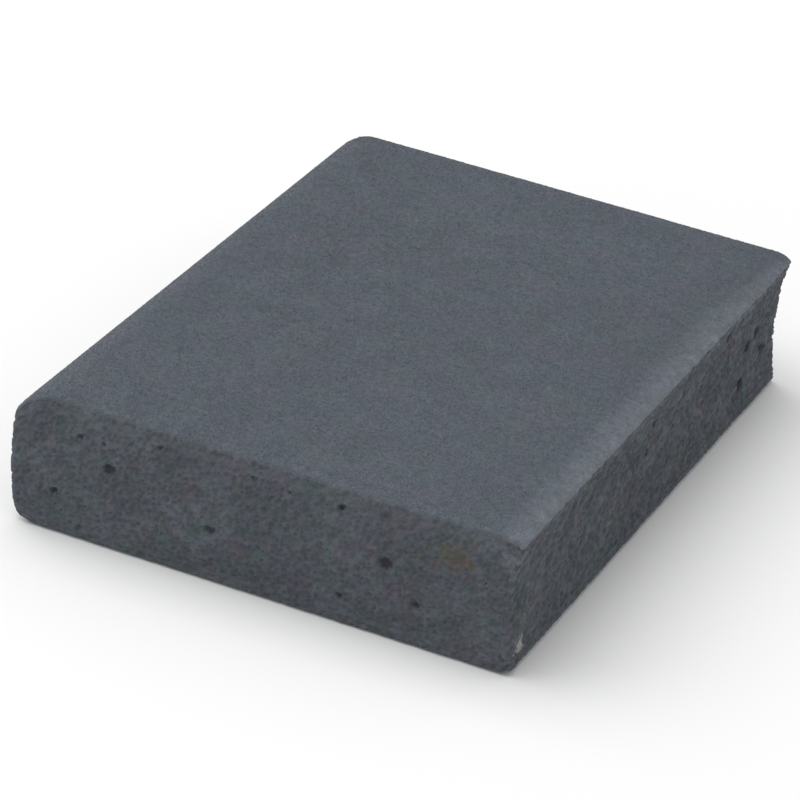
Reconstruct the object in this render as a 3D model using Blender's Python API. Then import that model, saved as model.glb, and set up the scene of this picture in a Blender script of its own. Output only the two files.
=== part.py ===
"""Two-sided sanding sponge: a slab of foam with a grit coat on each wide face.

The block is built as it is made. Five flat layers are stacked, the coats are
pressed over at their rims, and one cutting die stamps the whole stack out.
Frame: +Z up, +Y along the block, origin on the lower grit face's centre.
Sizes are in metres.
"""

import math

import bmesh
import bpy
from mathutils import Vector

# Overall size of the block
LENGTH = 0.100
WIDTH = 0.070
THICKNESS = 0.020

# Layers, from the outside in
GRIT_COAT = 0.0006
MAKE_COAT = 0.0004
LAYER_GAP = 0.0003

# The die: radius of each upright corner, how far its blade bends the cut, the
# height where it bends most, and how much deeper the block is cut at the left
FRONT_LEFT_RADIUS = 0.0010
BACK_LEFT_RADIUS = 0.0020
FRONT_RIGHT_RADIUS = 0.0004
BACK_RIGHT_RADIUS = 0.0006
CORNER_SEGMENTS = 5
CUT_BOW = 0.0010
CUT_BOW_HEIGHT = 0.0120
CUT_BOW_STEPS = 6
BACK_OUT_OF_SQUARE = 0.0028

# How far each rim is pressed over, and how far in from the cut that reaches:
# side: (drop, reach)
UPPER_ROLL = {
    "left": (0.0035, 0.0060),
    "right": (0.0009, 0.0035),
    "front": (0.0013, 0.0040),
    "back": (0.0008, 0.0030),
}
LOWER_ROLL = {
    "left": (0.0018, 0.0035),
    "right": (0.0003, 0.0015),
    "front": (0.0004, 0.0020),
    "back": (0.0005, 0.0020),
}
ROLL_STEPS = 4
# The raw stack is this much larger than the block on every side
TRIM_ALLOWANCE = 0.0015

FOAM_GREY = (0.058, 0.064, 0.073, 1.0)
RESIN_GREY = (0.030, 0.032, 0.036, 1.0)
GRIT_GREY = (0.098, 0.110, 0.127, 1.0)


def clear_scene():
    for obj in list(bpy.data.objects):
        bpy.data.objects.remove(obj, do_unlink=True)


def collection(name):
    made = bpy.data.collections.new(name)
    bpy.context.scene.collection.children.link(made)
    return made


def material(name, colour, roughness):
    made = bpy.data.materials.new(name)
    made.use_nodes = True
    shader = made.node_tree.nodes["Principled BSDF"]
    shader.inputs["Base Color"].default_value = colour
    shader.inputs["Roughness"].default_value = roughness
    shader.inputs["Metallic"].default_value = 0.0
    return made


def mesh_object(name, bm, home):
    mesh = bpy.data.meshes.new(name)
    bm.to_mesh(mesh)
    bm.free()
    made = bpy.data.objects.new(name, mesh)
    home.objects.link(made)
    return made


def box(width, length, bottom, top):
    """A box centred on the Z axis, between two heights."""
    bm = bmesh.new()
    bmesh.ops.create_cube(bm, size=1.0)
    bmesh.ops.scale(bm, vec=(width, length, top - bottom), verts=bm.verts)
    bmesh.ops.translate(bm, vec=(0, 0, (top + bottom) / 2), verts=bm.verts)
    return bm


def slice_at(bm, axis, places):
    """Cuts a loop of edges round the box at each place along an axis."""
    normal = Vector((0, 0, 0))
    normal[axis] = 1
    for place in places:
        bmesh.ops.bisect_plane(
            bm,
            geom=list(bm.verts) + list(bm.edges) + list(bm.faces),
            dist=1e-7,
            plane_co=normal * place,
            plane_no=normal,
        )


def rim_drop(x, y, roll):
    """How far the pressed rim has moved at a point. Two sides share a corner's drop."""
    inside = {
        "left": x + WIDTH / 2,
        "right": WIDTH / 2 - x,
        "front": y + LENGTH / 2,
        "back": LENGTH / 2 - y,
    }
    drops = [
        drop * max(0.0, 1 - inside[side] / reach) ** 2
        for side, (drop, reach) in roll.items()
    ]
    return math.hypot(*drops)


def roll_lines(low_side, high_side, half):
    """Where the sheet is sliced, so that it can bend within reach of two sides."""
    places = []
    for side, sign in ((low_side, -1), (high_side, 1)):
        reach = max(UPPER_ROLL[side][1], LOWER_ROLL[side][1])
        for step in range(1, ROLL_STEPS + 1):
            places.append(sign * (half - reach * step / ROLL_STEPS))
    return places


def cut_shift(z):
    """How far the bent blade stands off its own line at a height."""
    if z > CUT_BOW_HEIGHT:
        from_bend = (z - CUT_BOW_HEIGHT) / (THICKNESS - CUT_BOW_HEIGHT)
    else:
        from_bend = (CUT_BOW_HEIGHT - z) / CUT_BOW_HEIGHT
    return CUT_BOW * (0.5 - max(0.0, 1 - from_bend**2))


def cutting_die(home):
    """The closed outline that stamps every layer: round-cornered, with bowed walls."""
    bm = box(WIDTH, LENGTH, -TRIM_ALLOWANCE, THICKNESS + TRIM_ALLOWANCE)
    for x_sign, y_sign, radius in (
        (-1, -1, FRONT_LEFT_RADIUS),
        (-1, 1, BACK_LEFT_RADIUS),
        (1, -1, FRONT_RIGHT_RADIUS),
        (1, 1, BACK_RIGHT_RADIUS),
    ):
        corner = Vector((x_sign * WIDTH / 2, y_sign * LENGTH / 2))
        upright = [
            edge
            for edge in bm.edges
            if all((vert.co.xy - corner).length < 1e-6 for vert in edge.verts)
        ]
        bmesh.ops.bevel(
            bm,
            geom=upright,
            offset=radius,
            segments=CORNER_SEGMENTS,
            profile=0.5,
            affect="EDGES",
        )
    slice_at(
        bm, 2, [THICKNESS * step / CUT_BOW_STEPS for step in range(CUT_BOW_STEPS + 1)]
    )
    for vert in bm.verts:
        shift = cut_shift(vert.co.z)
        towards_back = vert.co.y / LENGTH + 0.5
        vert.co.y -= BACK_OUT_OF_SQUARE * towards_back * vert.co.x / WIDTH
        vert.co.x += shift
        vert.co.y += shift
    die = mesh_object("cutting_die", bm, home)
    die.hide_render = True
    die.display_type = "WIRE"
    return die


def layer(name, bottom, top, finish, home, die):
    """One layer of the stack, pressed at its rim and stamped by the die.

    A face above mid-height follows the upper roll, and one below it the lower.
    """
    bm = box(WIDTH + 2 * TRIM_ALLOWANCE, LENGTH + 2 * TRIM_ALLOWANCE, bottom, top)
    slice_at(bm, 0, roll_lines("left", "right", WIDTH / 2))
    slice_at(bm, 1, roll_lines("front", "back", LENGTH / 2))
    for vert in bm.verts:
        if vert.co.z > THICKNESS / 2:
            vert.co.z -= rim_drop(vert.co.x, vert.co.y, UPPER_ROLL)
        else:
            vert.co.z += rim_drop(vert.co.x, vert.co.y, LOWER_ROLL)
    bmesh.ops.triangulate(bm, faces=bm.faces)
    sheet = mesh_object(name, bm, home)
    sheet.data.materials.append(finish)
    stamp = sheet.modifiers.new("stamp", "BOOLEAN")
    stamp.operation = "INTERSECT"
    stamp.solver = "EXACT"
    stamp.object = die
    return sheet


def main():
    clear_scene()
    block = collection("sanding_sponge")
    cutters = collection("cutters")
    foam = material("foam", FOAM_GREY, 0.95)
    resin = material("resin", RESIN_GREY, 0.45)
    grit = material("grit", GRIT_GREY, 0.85)
    die = cutting_die(cutters)

    make_inset = GRIT_COAT + LAYER_GAP
    foam_inset = make_inset + MAKE_COAT + LAYER_GAP
    stack = (
        ("lower_grit_coat", 0.0, GRIT_COAT, grit),
        ("lower_make_coat", make_inset, make_inset + MAKE_COAT, resin),
        ("foam_core", foam_inset, THICKNESS - foam_inset, foam),
        (
            "upper_make_coat",
            THICKNESS - make_inset - MAKE_COAT,
            THICKNESS - make_inset,
            resin,
        ),
        ("upper_grit_coat", THICKNESS - GRIT_COAT, THICKNESS, grit),
    )
    for name, bottom, top, finish in stack:
        layer(name, bottom, top, finish, block, die)


main()
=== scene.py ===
# %% [markdown]
# # A two-sided sanding sponge
#
# The real object is a slab of foam with a coat of grit on each wide face. A big
# sheet of foam is coated first, and blocks are stamped out of it. So the wide
# faces are gritty, the four sides are raw cut foam, and the rims are bent where
# the cutter pressed them.
#
# The sizes come from a finished, measured model. Its nodes are loaded here as a
# fixed frame, and every piece below is wrapped on to them, so no shape is fitted
# by eye.

# %% Load the measured model
import math

import bpy
import numpy as np
from mathutils import Matrix, Vector
from mathutils.bvhtree import BVHTree


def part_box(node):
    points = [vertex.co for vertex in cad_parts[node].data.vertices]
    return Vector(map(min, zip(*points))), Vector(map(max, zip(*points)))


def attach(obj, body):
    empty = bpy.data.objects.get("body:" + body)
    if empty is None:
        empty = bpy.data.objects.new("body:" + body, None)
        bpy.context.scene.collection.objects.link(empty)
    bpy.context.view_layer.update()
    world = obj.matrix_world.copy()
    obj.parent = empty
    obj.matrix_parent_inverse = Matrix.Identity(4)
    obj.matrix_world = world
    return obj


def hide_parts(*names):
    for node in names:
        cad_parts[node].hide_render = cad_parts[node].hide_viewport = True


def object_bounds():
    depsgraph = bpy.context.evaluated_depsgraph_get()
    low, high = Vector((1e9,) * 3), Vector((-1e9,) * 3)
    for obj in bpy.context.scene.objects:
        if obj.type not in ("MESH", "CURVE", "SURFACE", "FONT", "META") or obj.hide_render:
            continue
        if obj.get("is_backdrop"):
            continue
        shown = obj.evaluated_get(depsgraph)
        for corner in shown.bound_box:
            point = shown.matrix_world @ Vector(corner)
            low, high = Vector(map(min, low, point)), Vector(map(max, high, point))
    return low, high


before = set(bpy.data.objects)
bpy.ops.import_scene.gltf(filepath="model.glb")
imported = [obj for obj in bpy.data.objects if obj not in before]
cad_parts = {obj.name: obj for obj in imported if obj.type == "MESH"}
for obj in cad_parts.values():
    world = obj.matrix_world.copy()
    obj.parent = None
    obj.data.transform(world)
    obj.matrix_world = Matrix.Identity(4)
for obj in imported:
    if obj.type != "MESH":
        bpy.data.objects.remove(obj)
cad_low, cad_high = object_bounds()
block_centre = (cad_low + cad_high) / 2
MM = 0.001
print("nodes:", sorted(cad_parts))
print("block size in mm:", [round(side / MM, 1) for side in cad_high - cad_low])

# %% [markdown]
# ## The camera
#
# A long lens from far away keeps the block's edges nearly parallel. The camera
# turns round a point near the block's centre by an azimuth and an elevation, and
# then leans a little to one side.

# %% Camera
CAMERA_AZIMUTH = math.radians(20.64)
CAMERA_ELEVATION = math.radians(27.03)
CAMERA_LEAN = math.radians(7.14)
CAMERA_DISTANCE = 598 * MM
CAMERA_LENS = 201.8
AIM_OFFSET = Vector((0.53, -7.69, 0)) * MM


def camera_axes(azimuth, elevation, lean):
    """The camera's right, up and backward directions."""
    back = Vector((
        math.sin(azimuth) * math.cos(elevation),
        -math.cos(azimuth) * math.cos(elevation),
        math.sin(elevation),
    ))
    level_right = Vector((0, 0, 1)).cross(back).normalized()
    level_up = back.cross(level_right)
    right = level_right * math.cos(lean) + level_up * math.sin(lean)
    return right, back.cross(right), back


def put_in_scene(name, data):
    """A new object that carries this mesh, camera or light."""
    made = bpy.data.objects.new(name, data)
    bpy.context.scene.collection.objects.link(made)
    return made


def make_camera():
    data = bpy.data.cameras.new("camera")
    data.lens = CAMERA_LENS
    camera = put_in_scene("camera", data)
    right, up, back = camera_axes(CAMERA_AZIMUTH, CAMERA_ELEVATION, CAMERA_LEAN)
    turn = Matrix((right, up, back)).transposed().to_4x4()
    place = block_centre + AIM_OFFSET + back * CAMERA_DISTANCE
    camera.matrix_world = Matrix.Translation(place) @ turn
    return camera


bpy.context.scene.camera = make_camera()
print("camera at", [round(x, 3) for x in bpy.context.scene.camera.matrix_world.translation])

# %% [markdown]
# ## Helpers for node trees
#
# Blender has shader trees for finishes and geometry trees for shapes. Both are
# nodes joined by links, so the same small helpers build both.

# %% Node helpers
def node(tree, kind, inputs=None, **settings):
    """Adds a node, sets its options, and feeds its inputs with numbers or links."""
    made = tree.nodes.new(kind)
    for name, value in settings.items():
        setattr(made, name, value)
    for key, value in (inputs or {}).items():
        if isinstance(value, bpy.types.NodeSocket):
            tree.links.new(value, made.inputs[key])
        else:
            made.inputs[key].default_value = value
    return made


def sum_of(tree, operation, *terms):
    """One step of arithmetic on numbers, as an output socket."""
    return node(tree, "ShaderNodeMath", dict(enumerate(terms)), operation=operation).outputs[0]


def times(tree, *factors):
    """The product of two or more numbers."""
    product = factors[0]
    for factor in factors[1:]:
        product = sum_of(tree, "MULTIPLY", product, factor)
    return product


def vector_sum(tree, operation, *terms):
    """One step of arithmetic on vectors. A dot product or a length is a number."""
    made = node(tree, "ShaderNodeVectorMath", dict(enumerate(terms)), operation=operation)
    is_number = operation in ("DOT_PRODUCT", "LENGTH", "DISTANCE")
    return made.outputs["Value" if is_number else "Vector"]


def scaled(tree, vector, factor):
    """A vector made longer or shorter."""
    wanted = {"Vector": vector, "Scale": factor}
    return node(tree, "ShaderNodeVectorMath", wanted, operation="SCALE").outputs["Vector"]


def ramp(tree, value, low, high, to_low=0.0, to_high=1.0, smooth=True):
    """Maps a number from one range to another, held at the ends."""
    kind = "SMOOTHSTEP" if smooth else "LINEAR"
    wanted = {"Value": value, "From Min": low, "From Max": high, "To Min": to_low, "To Max": to_high}
    return node(tree, "ShaderNodeMapRange", wanted, interpolation_type=kind).outputs["Result"]


def attribute(tree, name):
    """A number that a geometry tree or a wrapping step has left on the mesh."""
    return node(tree, "ShaderNodeAttribute", attribute_name=name).outputs["Fac"]


def blend(tree, amount, first, second):
    """Mixes two colours."""
    colours = {0: amount, 6: first, 7: second}
    return node(tree, "ShaderNodeMix", colours, data_type="RGBA").outputs[2]


def noise(tree, where, size, detail=2.0, roughness=0.5):
    """Cloudy noise whose blobs are about this size in metres."""
    wanted = {"Vector": where, "Scale": 1 / size, "Detail": detail, "Roughness": roughness}
    return node(tree, "ShaderNodeTexNoise", wanted).outputs[0]


# %% [markdown]
# The cutter dragged the foam along the block's right side, so its cells are drawn
# out there. Both the carving and the colours squeeze their coordinates to match.

# %% Helpers for the dragged side
RIGHT_WALL_DEPTH = 1.6 * MM
DRAG = 0.35


def on_right(tree, place):
    """1 on the right wall, and 0 elsewhere."""
    across = node(tree, "ShaderNodeSeparateXYZ", {0: place}).outputs["X"]
    return sum_of(tree, "GREATER_THAN", across, cad_high.x - RIGHT_WALL_DEPTH)


def drawn_out(tree, place):
    """The same places, squeezed along the right wall, so that patterns come out longer."""
    spot = node(tree, "ShaderNodeSeparateXYZ", {0: place}).outputs
    squeeze = ramp(tree, on_right(tree, place), 0, 1, 1, 1 - DRAG, smooth=False)
    moved = {"X": spot["X"], "Y": times(tree, spot["Y"], squeeze), "Z": spot["Z"]}
    return node(tree, "ShaderNodeCombineXYZ", moved).outputs[0]


print("the right wall's patterns are", round(1 / (1 - DRAG), 2), "times longer")

# %% [markdown]
# ## Measuring the model's walls
#
# Each layer of the model is a plain solid. To wrap a finer mesh on to it, a
# string of points is laid round the block, a little outside it, and from each
# point a ray is fired at the solid. Where the ray lands is where the real wall is.

# %% A string of points round the block
STRING_RADIUS = 1.0 * MM
SIDES = (
    ("front", (1, 0), (0, -1)),
    ("right", (0, 1), (1, 0)),
    ("back", (-1, 0), (0, 1)),
    ("left", (0, -1), (-1, 0)),
)
SIDE_NAMES = [name for name, _, _ in SIDES]
PLAN_CORNERS = ((-1, -1), (1, -1), (1, 1), (-1, 1))


def corners_of(name):
    """Where a layer's four upright corners are in plan. The block is not quite square."""
    places = np.array([vert.co[:2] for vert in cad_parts[name].data.vertices])
    return np.array([places[(places @ np.array(way)).argmax()] for way in PLAN_CORNERS])


def string_round(name, counts):
    """Points and outward directions round a layer, split at its corners."""
    corners = corners_of(name)
    size = (np.abs(corners[2] - corners[0]) + np.abs(corners[1] - corners[3])) / 2
    half = size / 2 - STRING_RADIUS
    quarter = STRING_RADIUS * math.pi / 4
    points, outwards = [], []
    for (_, along, out), count in zip(SIDES, counts):
        along, out = np.array(along), np.array(out)
        straight = 2 * abs(half @ along)
        run = np.arange(count) / count * (straight + 2 * quarter)
        angle = np.where(run < quarter, run - quarter, 0) + np.maximum(run - quarter - straight, 0)
        angle = angle / STRING_RADIUS
        facing = np.outer(np.cos(angle), out) + np.outer(np.sin(angle), along)
        start = out * abs(half @ out) - along * straight / 2
        place = start + np.outer(np.clip(run - quarter, 0, straight), along)
        points.append(place + facing * STRING_RADIUS)
        outwards.append(facing)
    share = np.vstack(points) / size + 0.5
    weights = [np.where(np.array(way) > 0, share, 1 - share).prod(1) for way in PLAN_CORNERS]
    return np.array(weights).T @ corners, np.vstack(outwards)


print("the string goes round:", SIDE_NAMES)

# %% [markdown]
# Three questions are asked of a solid: where a level ray meets its wall, between
# which levels it has a wall at all, and at what level a plumb line meets it. The
# ends of a wall are found by halving a step again and again.

# %% Rays at the walls
STAND_CLEAR = 4 * MM
RAY_REACH = 20 * MM
PLUMB_START = 40 * MM
WALL_STEEPNESS = 0.5
HALVINGS = 6


def surface_of(name):
    """A search tree over one CAD node's faces."""
    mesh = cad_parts[name].data
    corners = [vert.co.copy() for vert in mesh.vertices]
    return BVHTree.FromPolygons(corners, [list(face.vertices) for face in mesh.polygons])


def wall_hit(surface, point, outward, height):
    """Where a level ray meets a steep wall, or None if it misses or meets a flatter face."""
    start = Vector((*(point + outward * STAND_CLEAR), height))
    place, normal, _, _ = surface.ray_cast(start, Vector((*-outward, 0)), RAY_REACH)
    if place is None or abs(normal.z) > WALL_STEEPNESS:
        return None
    return place


def wall_band(surface, point, outward, heights):
    """The lowest and highest level at which this solid has a wall here."""
    found = [z for z in heights if wall_hit(surface, point, outward, z)]
    low, high = found[0], found[-1]
    step = heights[1] - heights[0]
    for _ in range(HALVINGS):
        step /= 2
        if wall_hit(surface, point, outward, low - step):
            low -= step
        if wall_hit(surface, point, outward, high + step):
            high += step
    return low, high


def drop_on(surface, point, direction):
    """The level where a plumb line through this point meets the solid, from above or below."""
    start = Vector((point[0], point[1], block_centre.z - direction * PLUMB_START))
    place, _, _, _ = surface.ray_cast(start, Vector((0, 0, direction)))
    return None if place is None else place.z


print("a wall is any face whose normal leans up or down by less than", WALL_STEEPNESS)

# %% [markdown]
# ## From arrays to a mesh
#
# The wrapped points come as rows in an array. This turns them into a mesh, gives
# it a flat map for textures, and stores a number on each point for the finishes.

# %% Mesh helpers
MAP_NAME = "OFBake"


def mesh_from(name, points, faces, values, flat_map, crisp):
    """A mesh object with named values on its points and a flat map on its corners.

    Crisp points are those of the rims where the finish must not round the corner off.
    """
    mesh = bpy.data.meshes.new(name)
    mesh.from_pydata(points.tolist(), [], faces)
    is_crisp = np.zeros(len(points), bool)
    is_crisp[crisp] = True
    ends = np.empty(2 * len(mesh.edges), np.int32)
    mesh.edges.foreach_get("vertices", ends)
    sharp = mesh.attributes.new("sharp_edge", "BOOLEAN", "EDGE")
    sharp.data.foreach_set("value", is_crisp[ends.reshape(-1, 2)].all(1))
    for key, numbers in values.items():
        layer = mesh.attributes.new(key, "FLOAT", "POINT")
        layer.data.foreach_set("value", np.asarray(numbers, np.float32))
    corners = np.empty(len(mesh.loops), np.int32)
    mesh.loops.foreach_get("vertex_index", corners)
    uv = mesh.uv_layers.new(name=MAP_NAME)
    uv.data.foreach_set("uv", flat_map(mesh, corners).astype(np.float32).ravel())
    mesh.shade_smooth()
    mesh.validate()
    return put_in_scene(name, mesh)


def strip_faces(rows, columns, first=0):
    """Quads between rows of points that close round the block."""
    row, column = np.mgrid[0 : rows - 1, 0:columns]
    a = first + row * columns + column
    b = first + row * columns + (column + 1) % columns
    return np.stack([a, b, b + columns, a + columns], -1).reshape(-1, 4).tolist()


# %% [markdown]
# ## The foam core
#
# The core is a slab of open-cell foam, and its sides show the cells that the
# cutter sliced through. It could be a plain box with a bump texture, but then its
# outline would be dead straight and the big pores would be painted on. Instead a
# fine sleeve of quads is wrapped on the cut walls, and the cells are carved into
# it as real hollows. Only the walls need this: the wide faces are hidden under
# the coats, so they are closed with a few coarse rings.

# %% Measure the foam's walls
FOAM_GRID = 0.15 * MM
FOAM_ROWS = 118
FOAM_SAMPLES = 13
BOW_DEGREE = 4
LAYER_GAP = 0.3 * MM
SCAN_START = 0.125 * MM
SCAN_STEP = 1.0 * MM


def foam_walls():
    """Rows of points up the four cut walls, from the lower rim to the upper one."""
    surface = surface_of("foam_core")
    low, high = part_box("foam_core")
    counts = [round((high.x - low.x) / FOAM_GRID), round((high.y - low.y) / FOAM_GRID)] * 2
    string, outward = string_round("foam_core", counts)
    levels = np.arange(low.z + SCAN_START, high.z, SCAN_STEP)
    fraction = np.linspace(0, 1, FOAM_SAMPLES)
    measured = np.zeros((FOAM_SAMPLES, len(string), 3))
    for k, (point, out) in enumerate(zip(string, outward)):
        bottom, top = wall_band(surface, point, out, levels)
        for row, share in enumerate(fraction):
            measured[row, k] = wall_hit(surface, point, out, bottom + (top - bottom) * share)
    fine = np.linspace(0, 1, FOAM_ROWS)
    curve = np.linalg.pinv(np.vander(fraction, BOW_DEGREE + 1))
    rows = np.vander(fine, BOW_DEGREE + 1) @ curve @ measured.reshape(FOAM_SAMPLES, -1)
    return rows.reshape(FOAM_ROWS, len(string), 3), counts


foam_rows, foam_counts = foam_walls()
print("foam sleeve:", foam_rows.shape[0], "rows of", foam_rows.shape[1], "points")

# %% [markdown]
# The walls have been smoothed into one curve from bottom to top, which takes out
# the model's flat facets. Next the sleeve is closed over the hidden wide faces by
# rings of points. Its flat map has a strip for each side, so that a texture baked
# from it stays sharp, and the rings share what is left of the map.

# %% Close the foam's sleeve
RING_INSETS = (0.3 * MM, 0.9 * MM, 1.8 * MM, 3.2 * MM, 5.0 * MM, 7.0 * MM)
# The flat map is a square of side 1. At full size, 104 mm of the block fill it
MAP_SCALE = 1 / (104 * MM)
MAP_MARGIN = 0.01
STRIP_PITCH = 0.185
STRIP_MARGIN = 0.003
WALL_SQUASH = 0.92
CAP_SHARE = 0.24
CAP_PITCH = 0.25


def inset_rings(border, level_of, z_shift):
    """Rings of points inwards from a border, laid on a surface by plumb lines."""
    middle = np.array(block_centre[:2])
    half = np.abs(border[:, :2] - middle).max(0)
    rings = []
    for inset in RING_INSETS:
        ring = border.copy()
        ring[:, :2] = middle + (border[:, :2] - middle) * (1 - inset / half)
        ring[:, 2] = [level_of(point) + z_shift for point in ring[:, :2]]
        rings.append(ring)
    return rings


def close_sleeve(rows):
    """The foam's whole skin: hidden lower rings, the four walls, hidden upper rings."""
    surface = surface_of("foam_core")
    half_gap = LAYER_GAP / 2
    rows = rows.copy()
    rows[0, :, 2] -= half_gap
    rows[-1, :, 2] += half_gap
    below = inset_rings(rows[0], lambda point: drop_on(surface, point, 1), -half_gap)
    above = inset_rings(rows[-1], lambda point: drop_on(surface, point, -1), half_gap)
    levels = [*below[::-1], *rows, *above]
    columns = rows.shape[1]
    points = np.vstack(levels)
    centre = np.array([block_centre.x, block_centre.y, 0])
    hubs = np.array([centre + [0, 0, levels[0][0, 2]], centre + [0, 0, levels[-1][0, 2]]])
    faces = strip_faces(len(levels), columns)
    under_hub, over_hub = len(points), len(points) + 1
    last = (len(levels) - 1) * columns
    for k in range(columns):
        after = (k + 1) % columns
        faces.append([after, k, under_hub])
        faces.append([last + k, last + after, over_hub])
    is_wall = np.zeros((len(levels), columns))
    is_wall[len(below) : len(below) + len(rows)] = 1
    is_wall = np.append(is_wall.ravel(), [0, 0])
    first, last = len(below) * columns, (len(below) + len(rows) - 1) * columns
    rims = np.concatenate([first + np.arange(columns), last + np.arange(columns)])
    return np.vstack([points, hubs]), faces, is_wall, rims


def laid_flat(where):
    """Points seen from above, at the flat map's full size."""
    return (where[:, :2] - np.array(cad_low[:2])) * MAP_SCALE


def corner_counts(mesh):
    """How many corners each face has."""
    return [len(face.vertices) for face in mesh.polygons]


def foam_map(points, is_wall, counts):
    """Lays each side's wall in a strip of the map, and both caps above the strips."""
    columns = sum(counts)
    side = np.repeat(np.arange(len(SIDES)), counts)
    starts = np.repeat(np.cumsum([0, *counts[:-1]]), counts)

    def lay(mesh, corners):
        where = points[corners]
        flat = np.empty((len(corners), 2))
        column = corners % columns
        faces = np.repeat(np.arange(len(mesh.polygons)), corner_counts(mesh))
        first = corners[np.searchsorted(faces, np.arange(len(mesh.polygons)))]
        home = side[first % columns][faces]
        wrapped = (column < first[faces] % columns - columns // 2) * columns
        along = (column + wrapped - starts[first % columns][faces]) * FOAM_GRID
        level = (where[:, 2] - cad_low.z) * MAP_SCALE * WALL_SQUASH
        flat[:, 0] = along * MAP_SCALE + MAP_MARGIN
        flat[:, 1] = home * STRIP_PITCH + level + STRIP_MARGIN
        is_cap = [min(is_wall[list(face.vertices)]) < 1 for face in mesh.polygons]
        capped = np.repeat(np.array(is_cap), corner_counts(mesh))
        upper = where[:, 2] > block_centre.z
        cap = laid_flat(where) * CAP_SHARE
        flat[capped, 0] = cap[capped, 0] + MAP_MARGIN + CAP_PITCH * upper[capped]
        flat[capped, 1] = cap[capped, 1] + len(SIDES) * STRIP_PITCH + MAP_MARGIN
        return flat

    return lay


foam_points, foam_faces, foam_is_wall, foam_rims = close_sleeve(foam_rows)
foam_blank = mesh_from(
    "foam_blank",
    foam_points,
    foam_faces,
    {"wall": foam_is_wall, "face": foam_is_wall * 0},
    foam_map(foam_points, foam_is_wall, foam_counts),
    foam_rims,
)
print("foam skin before carving:", len(foam_faces), "faces")

# %% [markdown]
# ## Carving the cells
#
# A foam cell is a bubble. The cutter slices through it, and what is left on the
# wall is a round hollow. So each cell here is a sphere, and a wall point inside
# it sinks straight in until it reaches the sphere's far side. Neighbouring
# spheres overlap, and the thin ridges left between them are the foam's struts.
#
# Two sizes are needed. The fine cells come from a Voronoi pattern, whose cell
# centres are the bubbles' centres. The few large pores come from a scattered set
# of points, each with its own radius, because their places are chosen.

# %% Points for the large pores
PORE_SEED = 11
PORE_COUNT = 120
PORE_RADIUS = (0.30 * MM, 0.75 * MM)
# Large ones are rarer by this power, and a centre strays this share of the radius
PORE_RARITY = 2.5
PORE_STRAY = 0.4
# The pores that catch the eye: side, millimetres along it, level, radius
NAMED_PORES = (
    ("front", 53.3, 10.8, 1.40),
    ("front", 14.0, 11.8, 1.15),
    ("front", 46.6, 16.4, 0.80),
    ("front", 28.8, 7.7, 1.00),
    ("front", 57.8, 6.2, 0.85),
    ("front", 6.4, 6.2, 0.85),
    ("front", 9.5, 15.0, 0.65),
    ("right", 95.8, 7.4, 1.40),
    ("right", 92.4, 11.3, 1.40),
    ("right", 89.0, 10.5, 1.50),
    ("right", 87.2, 5.2, 2.00),
    ("right", 77.8, 16.4, 1.30),
    ("right", 57.0, 6.0, 1.00),
    ("right", 49.0, 15.2, 1.10),
    ("right", 48.1, 11.0, 1.20),
    ("right", 2.6, 2.4, 0.80),
)


def wall_place(side, along, level):
    """The point on the foam's wall this far along one side, at this level."""
    order = SIDE_NAMES.index(side)
    column = sum(foam_counts[:order]) + min(int(along / FOAM_GRID), foam_counts[order] - 1)
    wall = foam_rows[:, column]
    return wall[np.abs(wall[:, 2] - level).argmin()]


def pore_points():
    """Every large pore's centre and radius, in metres."""
    rng = np.random.default_rng(PORE_SEED)
    lengths = np.array(foam_counts) * FOAM_GRID
    found = []
    for side, along, level, radius in NAMED_PORES:
        found.append((*wall_place(side, along * MM, level * MM), radius * MM))
    for _ in range(PORE_COUNT):
        side = rng.choice(len(SIDES), p=lengths / lengths.sum())
        along, level = rng.random() * lengths[side], rng.random() * cad_high.z
        place = wall_place(SIDE_NAMES[side], along, level)
        spread = rng.random() ** PORE_RARITY
        radius = PORE_RADIUS[0] + (PORE_RADIUS[1] - PORE_RADIUS[0]) * spread
        found.append((*(place + rng.normal(0, PORE_STRAY, 3) * radius), radius))
    return np.array(found)


def point_cloud(name, rows):
    """Loose points with a radius each, for a geometry tree to read."""
    mesh = bpy.data.meshes.new(name)
    mesh.from_pydata(rows[:, :3].tolist(), [], [])
    layer = mesh.attributes.new("pore_radius", "FLOAT", "POINT")
    layer.data.foreach_set("value", rows[:, 3].astype(np.float32))
    return put_in_scene(name, mesh)


pores = point_cloud("pores", pore_points())
print("large pores:", len(pores.data.vertices))

# %% [markdown]
# A geometry tree is given named inputs, so that one tree serves several pieces at
# different sizes. It is run on a blank, and its result is kept as a plain mesh.

# %% Helpers for geometry trees
KINDS = {
    float: "NodeSocketFloat",
    int: "NodeSocketInt",
    bpy.types.Object: "NodeSocketObject",
    bpy.types.Material: "NodeSocketMaterial",
}


def geometry_tree(name, sizes):
    """A new geometry tree, with one named input for each size, and its input node."""
    tree = bpy.data.node_groups.new(name, "GeometryNodeTree")
    tree.interface.new_socket("Geometry", in_out="INPUT", socket_type="NodeSocketGeometry")
    for key, kind in sizes.items():
        tree.interface.new_socket(key, in_out="INPUT", socket_type=KINDS[kind])
    tree.interface.new_socket("Geometry", in_out="OUTPUT", socket_type="NodeSocketGeometry")
    return tree, tree.nodes.new("NodeGroupInput").outputs


def finish_tree(tree, geometry, material, mapped=False):
    """Ends a tree: instances become real mesh, get a flat map if they need it, and a finish."""
    real = node(tree, "GeometryNodeRealizeInstances", {"Geometry": geometry}).outputs[0]
    if mapped:
        place = node(tree, "GeometryNodeInputPosition").outputs[0]
        flat = scaled(tree, vector_sum(tree, "SUBTRACT", place, cad_low), MAP_SCALE)
        real = stored(tree, real, MAP_NAME, flat, "CORNER", "FLOAT2")
    painted = node(tree, "GeometryNodeSetMaterial", {"Geometry": real, "Material": material})
    node(tree, "NodeGroupOutput", {"Geometry": painted.outputs[0]})


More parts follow.
